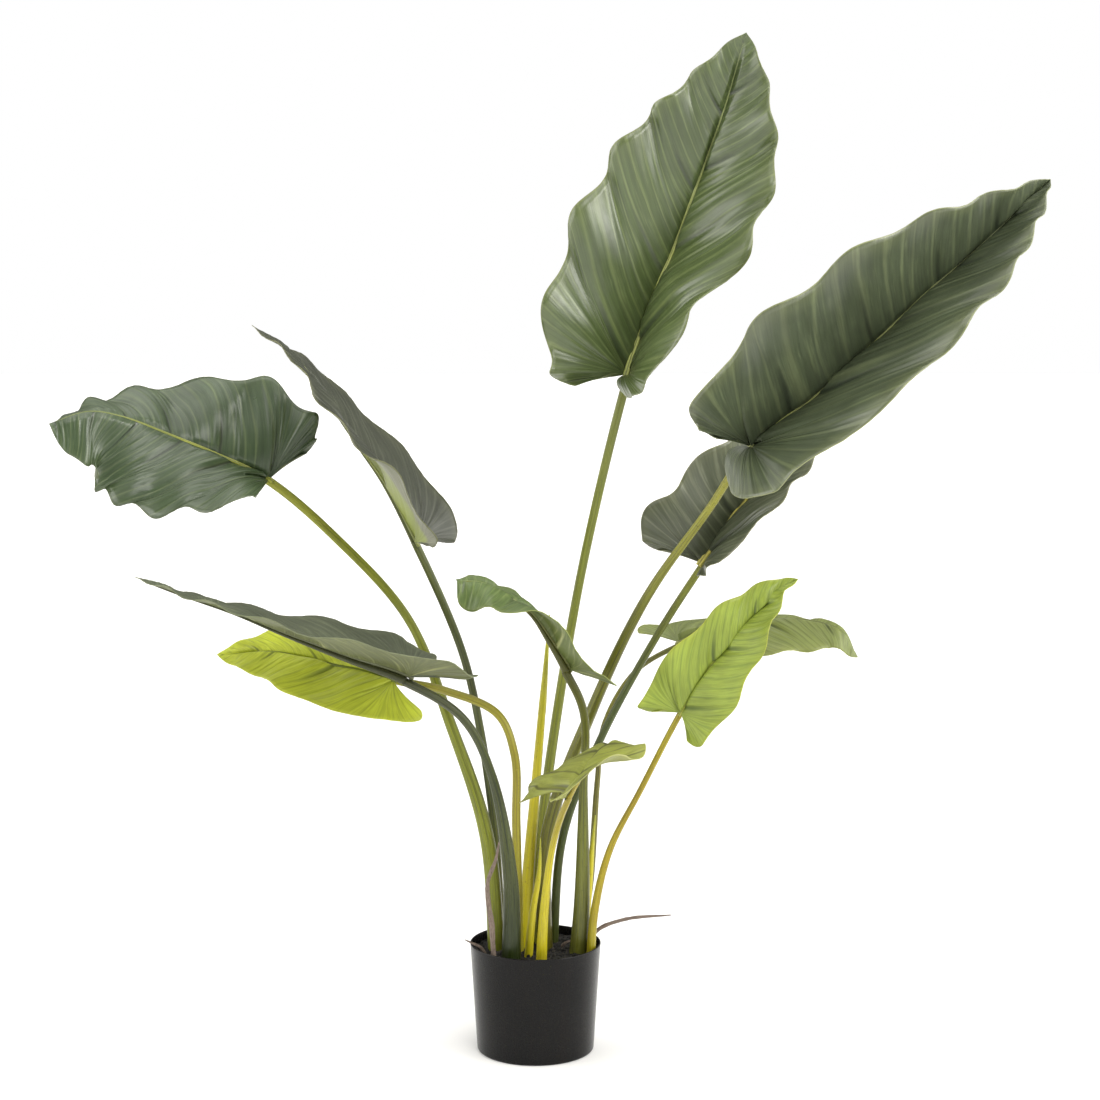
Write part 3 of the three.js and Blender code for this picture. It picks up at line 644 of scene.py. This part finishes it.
    def add_ribs(self, builder):
        """The raised double midrib, which lies in the fold on the face, and the round keel underneath."""
        y = np.linspace(*BEAD_REACH, BEAD_STATIONS)
        stations = self.attach + y * self.length
        wide = self.plan["radii"][1] * self.plan["bead"]
        half_width = BEAD_TIP + (wide - BEAD_TIP) * np.clip(1 - y, 0, 1) ** BEAD_TAPER
        angle = ring_angles(BEAD_SIDES)
        groove = 1 - BEAD_GROOVE * np.exp(-(np.cos(angle) / 0.3) ** 2) * (np.sin(angle) > 0)
        ring = np.stack([np.cos(angle) * half_width[:, None],
                         np.sin(angle) * groove * half_width[:, None] * BEAD_HEIGHT], -1)
        _, _, up, right = self.axes(y)
        way = np.maximum(y, 0)
        left_fold, right_fold = (np.radians(eased_list(fold, way)) for fold in self.plan["fold"])
        middle = (math.pi + right_fold - left_fold) / 2
        bisector = right * np.cos(middle)[:, None] + up * np.sin(middle)[:, None]
        closed = np.tan(np.clip((left_fold + right_fold) / 2, 0, BEAD_LIMIT))
        settle = np.minimum(y, 0) * BEAD_SINK
        raised = up * (self.lift(y) + settle)[:, None]
        offset = raised + bisector * (half_width * (closed + BEAD_STAND))[:, None]
        add_rod(builder, self.route, stations, ring, RIB, bisector, offset)

        y = np.linspace(*KEEL_REACH, KEEL_STATIONS)
        stations = self.attach + y * self.length
        thick = KEEL_TIP + (self.plan["radii"][1] - KEEL_TIP) * (1 - y) ** KEEL_TAPER
        _, _, up, _ = self.axes(y)
        drop = up * (self.lift(y) - thick)[:, None]
        ring = circle_offsets(np.repeat(thick[:, None], KEEL_SIDES, 1))
        add_rod(builder, self.route, stations, ring, KEEL, offset=drop)


def make_blade(blade):
    name = blade.plan["name"]
    look = LOOKS[name]
    builder = Builder()
    blade.add_sheet(builder)
    blade.add_ribs(builder)
    materials = [leaf_material(name + "_face", look), underside_material(name + "_under", look),
                 rib_material(name + "_rib", look), stalk_material(name + "_keel", STALKS[name], True)]
    builder.build(name + "_veined_blade", materials, name + "_blade")


def make_stalk(blade):
    """A stalk with soft flats round it and a groove that the sheath leaves near the soil."""
    name = blade.plan["name"]
    stations = np.linspace(0, blade.attach + STALK_OVERLAP, STALK_STATIONS)
    t = stations / blade.attach
    angle = ring_angles(STALK_SIDES)
    turn = rng.uniform(0, TURN)
    flats = 0.055 * np.cos(3 * (angle - turn)) + 0.035 * np.cos(2 * (angle + turn)) + 0.02 * np.cos(7 * angle)
    from_groove = np.angle(np.exp(1j * (angle + 1.2)))
    groove = STALK_GROOVE * (1 - smooth(0.05, 0.5, t))[:, None] * np.exp(-((from_groove / 0.3) ** 2))
    radius = blade.stalk_radius(t)[:, None] * (1 + flats - groove)
    material = stalk_material(name + "_stalk", STALKS[name], False)
    make_rod(blade.route, stations, radius, material, name + "_petiole", name + "_stalk")


def make_spear(plan):
    """A young leaf rolled round itself: its free edge winds up the side as a small step."""
    name = plan["name"]
    route = Route(plan["points"])
    stations = np.linspace(0, route.length, SPEAR_STATIONS)
    t = stations / route.length
    edge = -1.9 + 2.2 * t[:, None]
    around = (ring_angles(SPEAR_SIDES) - edge) % TURN / TURN
    rolled = 1 - SPEAR_STEP / 2 + SPEAR_STEP * around * smooth(1.0, 0.9, t)[:, None]
    radius = radii_along(plan, t) * rolled
    make_rod(route, stations, radius, spear_material(name), name + "_rolled", name)


def make_root(plan, material):
    """An aerial root with uneven thickness and ridged, rough bark."""
    name = plan["name"]
    route = Route(plan["points"])
    stations = np.linspace(0, route.length, int(route.length / ROOT_STEP))
    t = stations / route.length
    knots = np.arange(0, route.length + LUMP_STEP, LUMP_STEP)
    lumps = np.interp(stations, knots, rng.uniform(*LUMPS, len(knots)))[:, None]
    turned = 5 * ring_angles(ROOT_SIDES) + 0.08 * stations[:, None]
    ridges = 1 + 0.06 * np.cos(turned) + rng.normal(0, ROOT_ROUGHNESS, (len(t), ROOT_SIDES))
    radius = radii_along(plan, t) * lumps * ridges
    make_rod(route, stations, radius, material, name + "_bark", name)


# Soil and pot

def add_turned(builder, profile, facets, slot):
    """A closed turned form: the profile runs from the axis round to the axis again."""
    profile = np.array(profile, float)
    angle = ring_angles(facets)
    inner = profile[1:-1]
    points = np.stack([inner[:, :1] * np.cos(angle), inner[:, :1] * np.sin(angle),
                       np.repeat(inner[:, 1:], facets, 1)], -1).reshape(-1, 3)
    points = np.concatenate([points, [(0, 0, profile[0, 1]), (0, 0, profile[-1, 1])]])
    _, _, faces = closed_tube(len(inner), facets)
    x, y, z = np.moveaxis(points[faces], -1, 0)
    turn = np.arctan2(y, x)
    builder.add(points, faces, np.stack([np.cos(turn), np.sin(turn), z, 0 * z], -1), slot)


def pot_outer(z):
    """Outer radius of the pot at a height, read from the CAD pot's box."""
    low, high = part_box("pot")
    rim = (high.x - low.x) / 2 / MM
    return rim - POT_TAPER * (1 - z / (high.z / MM))


def make_pot():
    """A thin wall with a round foot edge and a round lip, turned in one profile."""
    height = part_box("pot")[1].z / MM
    lip = POT_WALL / 2
    foot = pot_outer(0) - POT_CORNER
    profile = [(0, 0.0)]
    for a in np.linspace(0, math.pi / 2, 7):
        profile.append((foot + POT_CORNER * math.sin(a) + 0.1 * a, POT_CORNER * (1 - math.cos(a))))
    profile += [(pot_outer(z), z) for z in np.linspace(8, height - 4, 12)]
    centre = pot_outer(height) - lip
    for a in np.linspace(0, math.pi, 9):
        profile.append((centre + lip * math.cos(a), height - lip + lip * math.sin(a)))
    profile += [(pot_outer(z) - POT_WALL, z) for z in (height - 6, 60, POT_FLOOR + 4)]
    profile += [(pot_outer(0) - 6, POT_FLOOR), (0, POT_FLOOR)]
    builder = Builder()
    add_turned(builder, profile, POT_FACETS, 0)
    builder.build("nursery_pot", [pot_material()], "pot")


def soil_height(x, y):
    broad = 0.6 * np.sin(x * 0.21 + 1.3) * np.cos(y * 0.17) + 0.4 * np.sin(x * 0.43 - y * 0.37)
    return SOIL_TOP + SOIL_RIPPLE * broad


def granule_template():
    """Corners and faces of a small ball with 20 faces."""
    golden = (1 + math.sqrt(5)) / 2
    corners = [(-1, golden, 0), (1, golden, 0), (-1, -golden, 0), (1, -golden, 0)]
    points = np.concatenate([np.roll(corners, turn, axis=1) for turn in range(3)])
    distance = np.linalg.norm(points[:, None] - points[None], axis=-1)
    faces = []
    for a, b, c in itertools.combinations(range(len(points)), 3):
        if max(distance[a, b], distance[b, c], distance[a, c]) < 2.1:
            outward = np.cross(points[b] - points[a], points[c] - points[a]).dot(points[a]) > 0
            faces.append((a, b, c) if outward else (a, c, b))
    return unit(points), np.array(faces)


def make_soil():
    """The filled pot's surface with loose granules and crumbs lying on it."""
    inner = pot_outer(SOIL_TOP) - POT_WALL - SOIL_GAP
    bottom = POT_FLOOR + SEAT_GAP
    profile = [(0, bottom), (pot_outer(bottom) - POT_WALL - SOIL_GAP, bottom)]
    profile += [(inner * r, SOIL_TOP) for r in np.linspace(1, 0, SOIL_RINGS)]
    builder = Builder()
    add_turned(builder, profile, SOIL_FACETS, 0)
    points = builder.sections[0][0]
    top = points[:, 2] > SOIL_TOP - 1
    rough = rng.normal(0, SOIL_ROUGHNESS, top.sum()) * (np.hypot(*points[top, :2].T) < inner - 1)
    points[top, 2] = soil_height(points[top, 0], points[top, 1]) + rough

    ball, ball_faces = granule_template()
    for _ in range(GRANULES):
        size = rng.choice(GRANULE_SIZES, p=GRANULE_SHARES) * rng.uniform(0.8, 1.2)
        reach = (inner - 2.4) * math.sqrt(rng.uniform())
        turn = rng.uniform(0, TURN)
        x, y = reach * math.cos(turn), reach * math.sin(turn)
        stretch = rng.uniform(0.65, 1.25, 3)
        shape = ball * (1 + rng.uniform(-0.18, 0.18, (len(ball), 1))) * stretch * size
        spin = rng.uniform(0, TURN)
        across = (math.cos(spin), math.sin(spin), 0)
        beside = (-math.sin(spin), math.cos(spin), 0)
        centre = np.array([x, y, soil_height(x, y) + 0.35 * size])
        tint = np.full((len(ball_faces), 3, 4), rng.uniform())
        builder.add(shape @ np.array([across, beside, (0, 0, 1)]) + centre, ball_faces, tint, 1, False)
    materials = [soil_material("soil_bed", False), soil_material("soil_granules", True)]
    builder.build("loose_soil", materials, "soil")


# Materials

class Nodes:
    """Short calls for the nodes of one node tree."""

    def __init__(self, tree):
        self.tree = tree

    def put(self, socket, value):
        if isinstance(value, bpy.types.NodeSocket):
            self.tree.links.new(value, socket)
        else:
            socket.default_value = value

    def node(self, kind, inputs, output=0, **settings):
        node = self.tree.nodes.new(kind)
        for key, value in settings.items():
            setattr(node, key, value)
        for key, value in inputs.items():
            self.put(node.inputs[key], value)
        return node.outputs[output]

    def split(self, vector):
        node = self.tree.nodes.new("ShaderNodeSeparateXYZ")
        self.put(node.inputs[0], vector)
        return node.outputs

    def math(self, operation, a, b=0.0):
        return self.node("ShaderNodeMath", {0: a, 1: b}, operation=operation)

    def add(self, a, b):
        return self.math("ADD", a, b)

    def times(self, *values):
        product = values[0]
        for value in values[1:]:
            product = self.math("MULTIPLY", product, value)
        return product

    def band(self, value, low, high, to_low=0.0, to_high=1.0):
        """Eased from to_low, where the value is low, to to_high, where it is high."""
        return self.node("ShaderNodeMapRange", {0: value, 1: low, 2: high, 3: to_low, 4: to_high},
                         interpolation_type="SMOOTHSTEP")


class Shader(Nodes):
    """The nodes of one material, with its roughness and specular level."""

    def __init__(self, name, roughness, gloss=0.5):
        self.material = bpy.data.materials.new(name)
        self.material.use_nodes = True
        super().__init__(self.material.node_tree)
        self.surface = self.tree.nodes["Principled BSDF"]
        self.put(self.surface.inputs["Roughness"], roughness)
        self.put(self.surface.inputs["Specular IOR Level"], gloss)

    def map(self, name):
        return self.split(self.node("ShaderNodeUVMap", {}, uv_map=name))[:2]

    def round_place(self):
        """Place on a rod or turned form: two values round it, the way along it and, on rods, its share."""
        return self.map("Pattern") + self.map("Place")

    def noise(self, vector, scale, detail, roughness):
        inputs = {"Vector": vector, "Scale": scale, "Detail": detail, "Roughness": roughness}
        return self.node("ShaderNodeTexNoise", inputs, "Fac")

    def speckle(self, scale, detail=3.0, roughness=0.55):
        return self.noise(self.node("ShaderNodeTexCoord", {}, "Object"), scale, detail, roughness)

    def drawn_noise(self, place, counts, detail=3.0, roughness=0.55, scale=1.0):
        """Noise whose grain is drawn out: each value of the place has its own count."""
        drawn = {number: self.times(*pair) for number, pair in enumerate(zip(place, counts))}
        return self.noise(self.node("ShaderNodeCombineXYZ", drawn), scale, detail, roughness)

    def mix(self, factor, a, b):
        """A mix of two colours, each a socket or a display colour such as 0x4A6234."""
        a, b = (linear(c) if isinstance(c, int) else c for c in (a, b))
        return self.node("ShaderNodeMix", {0: factor, 6: a, 7: b}, 2, data_type="RGBA")

    def lay(self, colour, over, *factors):
        """Lays another colour over the colour, as strongly as the product of the factors."""
        return self.mix(self.times(*factors), colour, over)

    def vary(self, colour, *band):
        """The colour made darker or lighter: the band gives the brightness."""
        return self.node("ShaderNodeHueSaturation", {"Color": colour, "Value": self.band(*band)})

    def finish(self, colour, height, depth, roughness=None):
        """Sets the colour, the relief of the given depth in millimetres, and the roughness."""
        self.put(self.surface.inputs["Base Color"], colour)
        bump = self.node("ShaderNodeBump", {"Height": height, "Distance": depth * MM, "Strength": 1.0})
        self.put(self.surface.inputs["Normal"], bump)
        if roughness is not None:
            self.put(self.surface.inputs["Roughness"], roughness)
        return self.material


def blade_pattern(s, stripes):
    """Values shared by both faces of a blade: way to the margin, streaks, veins and creases."""
    turn, across = s.map("Pattern")
    wander = s.math("SUBTRACT", s.speckle(22.0), 0.5)
    turn = s.add(turn, s.times(wander, 0.035))
    shift = s.drawn_noise((turn, across), (1.7, 0.3), 2.0)
    streak = s.drawn_noise((turn, across), (15.0, 1.6), 4.0, 0.6)
    fine_streak = s.drawn_noise((turn, across), (38.0, 2.0), 2.0)
    vein_place = s.math("PINGPONG", s.add(s.times(turn, stripes), s.times(shift, 2.4)), 0.5)
    crease_place = s.math("PINGPONG", turn, 0.5)
    return across, streak, fine_streak, vein_place, crease_place


def leaf_material(name, look):
    """Glossy upper face: thin veins, irregular streaks, dark lateral veins with painted shade in their
    creases, and a pale margin line.
    """
    s = Shader(name, look.roughness, look.gloss)
    across, streak, fine_streak, vein_place, crease_place = blade_pattern(s, look.stripes)
    cloud = s.speckle(13.0, 4.0, 0.6)
    vein = s.times(s.band(vein_place, 0.15, 0.02), s.band(streak, 0.25, 0.55, 0.5, 1.0))
    pale = s.times(s.band(streak, 0.5, 0.72), s.band(cloud, 0.35, 0.65))
    dark = s.times(s.band(fine_streak, 0.52, 0.7), s.band(streak, 0.6, 0.4))
    # Painted shade: the creases between the panels are darkened over the dark lateral vein lines, most
    # strongly near the midrib where the relief is deepest.
    fold = s.times(s.band(crease_place, 0.05, 0.0), s.band(across, 0.75, 0.2))
    colour = s.lay(look.blade, look.stripe, pale, 0.4)
    colour = s.lay(colour, look.stripe, vein, look.vein)
    colour = s.lay(colour, look.crease, dark, 0.3)
    colour = s.vary(colour, fine_streak, 0.34, 0.66, 0.84, 1.16)
    colour = s.lay(colour, look.crease, fold, 0.75)
    colour = s.lay(colour, look.margin, s.band(across, 0.8, 1.0), 0.15)
    colour = s.lay(colour, look.margin, s.band(across, 0.985, 0.998), 0.6)
    colour = s.vary(colour, cloud, 0.25, 0.75, 0.84, 1.16)
    height = s.add(s.times(streak, 0.9), s.times(fine_streak, 0.35))
    height = s.add(height, s.times(s.speckle(850.0, 2.0), 0.06))
    roughness = s.band(s.speckle(45.0), 0.2, 0.8, look.roughness - 0.05, look.roughness + 0.07)
    return s.finish(colour, height, 0.28, roughness)


def underside_material(name, look):
    """Matter underside: raised pale lateral veins and fine parallel lines."""
    s = Shader(name, look.roughness + 0.1)
    across, streak, fine_streak, vein_place, crease_place = blade_pattern(s, look.stripes)
    line = s.times(s.band(vein_place, 0.14, 0.0), s.band(streak, 0.3, 0.6))
    vein = s.times(s.band(crease_place, 0.05, 0.01), s.band(across, 1.0, 0.5))
    colour = s.lay(look.under, look.under_vein, line, 0.35)
    colour = s.lay(colour, look.crease, s.band(fine_streak, 0.45, 0.7), 0.35)
    colour = s.lay(colour, look.under_vein, s.band(streak, 0.55, 0.75), 0.4)
    if look.base is not None:
        _, way = s.map("Place")
        colour = s.lay(colour, look.base, s.band(way, 0.5, 0.12), s.band(across, 0.62, 0.4), 0.9)
    colour = s.lay(colour, look.under_vein, vein, 0.8)
    colour = s.lay(colour, look.margin, s.band(across, 0.97, 0.99), 0.7)
    colour = s.vary(colour, s.speckle(14.0, 4.0), 0.25, 0.75, 0.86, 1.14)
    height = s.add(vein, s.add(s.times(line, 0.35), s.times(fine_streak, 0.3)))
    return s.finish(colour, height, 0.5)


def rib_material(name, look):
    """Midrib on the face: two pale ridges with painted shade in the groove between them, greener towards the
    tip.
    """
    s = Shader(name, 0.4)
    around_x, around_y, along, share = s.round_place()
    streak = s.drawn_noise((around_x, along), (3.0, 0.02), 4.0)
    # Painted shade: the groove between the two ridges is darkened.
    groove = s.times(s.band(s.math("ABSOLUTE", around_x), 0.3, 0.1), s.band(around_y, 0.0, 0.4))
    colour = s.lay(look.rib, look.stripe, s.band(streak, 0.4, 0.65), 0.5)
    colour = s.lay(colour, look.crease, groove, 0.6)
    colour = s.lay(colour, look.stripe, s.band(share, 0.3, 0.9), 0.8)
    return s.finish(colour, streak, 0.3)


def stalk_material(name, colours, is_keel):
    """A stalk's colours run from the soil to the blade, with long streaks and small flecks and scars."""
    s = Shader(name, 0.36, 0.38)
    low, middle, high, streak_colour = colours
    place = s.round_place()
    share = place[3]
    wide = s.drawn_noise(place, (1.5, 1.5, 0.006), 3.0, 0.6)
    streak = s.drawn_noise(place, (4.5, 4.5, 0.012), 4.0, 0.65)
    fibre = s.drawn_noise(place, (14.0, 14.0, 0.03))
    if is_keel:
        colour = s.mix(s.band(share, 0.3, 1.0), high, middle)
    else:
        colour = s.mix(s.band(share, 0.02, 0.4), low, middle)
        colour = s.mix(s.band(share, 0.6, 1.0), colour, high)
    colour = s.vary(colour, wide, 0.32, 0.68, 0.8, 1.22)
    colour = s.lay(colour, streak_colour, s.band(streak, 0.46, 0.66), 0.8)
    colour = s.lay(colour, streak_colour, s.band(s.speckle(380.0, 2.0), 0.62, 0.7), 0.45)
    pale_fleck = s.band(s.speckle(290.0, 3.0, 0.7), 0.36, 0.28)
    colour = s.vary(colour, pale_fleck, 0.0, 1.0, 1.0, 1.35)
    colour = s.vary(colour, fibre, 0.3, 0.7, 0.86, 1.12)
    height = s.add(s.times(fibre, 0.8), s.times(s.speckle(500.0), 0.2))
    return s.finish(colour, height, 0.4, s.band(streak, 0.3, 0.7, 0.22, 0.4))


def spear_material(name):
    """Bright yellow rolled leaf, greener towards the tip, with fine long veins and brown flecks."""
    s = Shader(name, 0.38)
    place = s.round_place()
    wide = s.drawn_noise(place, (1.5, 1.5, 0.006))
    fibre = s.drawn_noise(place, (9.0, 9.0, 0.015))
    colour = s.mix(s.band(place[3], 0.6, 1.0), SPEAR_YELLOW, SPEAR_TIP)
    colour = s.vary(colour, wide, 0.32, 0.68, 0.84, 1.16)
    colour = s.lay(colour, SPEAR_VEIN, s.band(fibre, 0.48, 0.7), 0.5)
    colour = s.lay(colour, SPEAR_FLECK, s.band(s.speckle(300.0), 0.62, 0.7), 0.5)
    return s.finish(colour, fibre, 0.35)


def root_material():
    """Dry grey-brown bark, cracked along and across."""
    s = Shader("root_bark", 0.85)
    grain = s.drawn_noise(s.round_place(), (3.0, 3.0, 0.12), 5.0, 0.7, 2.0)
    colour = s.mix(s.band(grain, 0.3, 0.7), ROOT_DARK, ROOT_PALE)
    return s.finish(colour, grain, 0.6)


def soil_material(name, tinted):
    """Near-black compost: a dark bed, and granules that differ a little in tone."""
    s = Shader(name, 0.8)
    crumb = s.speckle(700.0, 4.0, 0.7)
    tone, _ = s.map("Pattern")
    share = s.band(tone, 0.55, 1.0) if tinted else s.band(crumb, 0.45, 0.75, 0.0, 0.4)
    return s.finish(s.mix(share, SOIL_DARK, SOIL_PALE), crumb, 0.6)


def pot_material():
    """Charcoal moulded plastic: a fine mottled grain and faint vertical flow marks."""
    s = Shader("pot_plastic", 0.4, 0.2)
    speck = s.speckle(620.0, 3.0, 0.65)
    cloud = s.speckle(18.0, 4.0, 0.6)
    flow = s.drawn_noise(s.round_place(), (3.0, 3.0, 0.004), scale=2.4)
    colour = s.mix(s.band(cloud, 0.3, 0.7), POT_DARK, POT_CLOUD)
    colour = s.lay(colour, POT_SPECK, s.band(speck, 0.52, 0.75), 0.4)
    colour = s.lay(colour, POT_FLOW, s.band(flow, 0.4, 0.75), 0.3)
    return s.finish(colour, speck, 0.14, s.band(speck, 0.3, 0.7, 0.2, 0.3))


# Stage

def make_floor():
    bpy.ops.mesh.primitive_plane_add(size=2 * FLOOR_SIZE)
    floor = bpy.context.object
    floor.name = "floor"
    paint = Shader("floor_paint", 0.9, 0.1)
    paint.put(paint.surface.inputs["Base Color"], FLOOR_COLOUR)
    floor.data.materials.append(paint.material)


def make_world():
    """White surroundings: full white to the eye, and as light brighter at both sides and above."""
    world = bpy.data.worlds.new("studio")
    bpy.context.scene.world = world
    world.use_nodes = True
    n = Nodes(world.node_tree)
    sideways, _, upwards = n.split(n.node("ShaderNodeTexCoord", {}, "Generated"))
    sides = n.band(n.math("ABSOLUTE", sideways), *SIDE_LIGHT_FROM, 0.0, SIDE_LIGHT)
    top = n.band(upwards, *TOP_LIGHT_FROM, 0.0, TOP_LIGHT)
    light = n.tree.nodes["Background"]
    n.put(light.inputs["Color"], LIGHT_COLOUR + (1,))
    n.put(light.inputs["Strength"], n.add(n.add(sides, top), ROOM_LIGHT))
    seen = n.node("ShaderNodeBackground", {"Color": (1, 1, 1, 1), "Strength": 1.0})
    is_seen = n.node("ShaderNodeLightPath", {}, "Is Camera Ray")
    shown = n.node("ShaderNodeMixShader", {0: is_seen, 1: light.outputs[0], 2: seen})
    n.put(n.tree.nodes["World Output"].inputs["Surface"], shown)


def make_suns():
    for name, (direction, strength, spread) in SUNS.items():
        light = bpy.data.lights.new(name, "SUN")
        light.energy = strength
        light.angle = math.radians(spread)
        light.color = LIGHT_COLOUR
        new_object(name, light).rotation_euler = Vector(direction).to_track_quat("Z", "Y").to_euler()


def make_camera():
    data = bpy.data.cameras.new("camera")
    data.sensor_width = SENSOR_WIDTH
    data.lens = CAMERA_LENS
    camera = new_object("camera", data)
    camera.location = CAMERA_PLACE
    camera.rotation_euler = (math.radians(90 - CAMERA_PITCH_DOWN), 0, 0)
    bpy.context.scene.camera = camera


make_camera()
make_world()
make_floor()
make_suns()
bpy.context.scene.view_settings.view_transform = "Standard"

for leaf_plan in LEAF_PLANS:
    leaf_blade = Blade(leaf_plan)
    make_blade(leaf_blade)
    make_stalk(leaf_blade)
for spear_plan in SPEAR_PLANS:
    make_spear(spear_plan)
bark = root_material()
for root_plan in ROOT_PLANS:
    make_root(root_plan, bark)
make_soil()
make_pot()
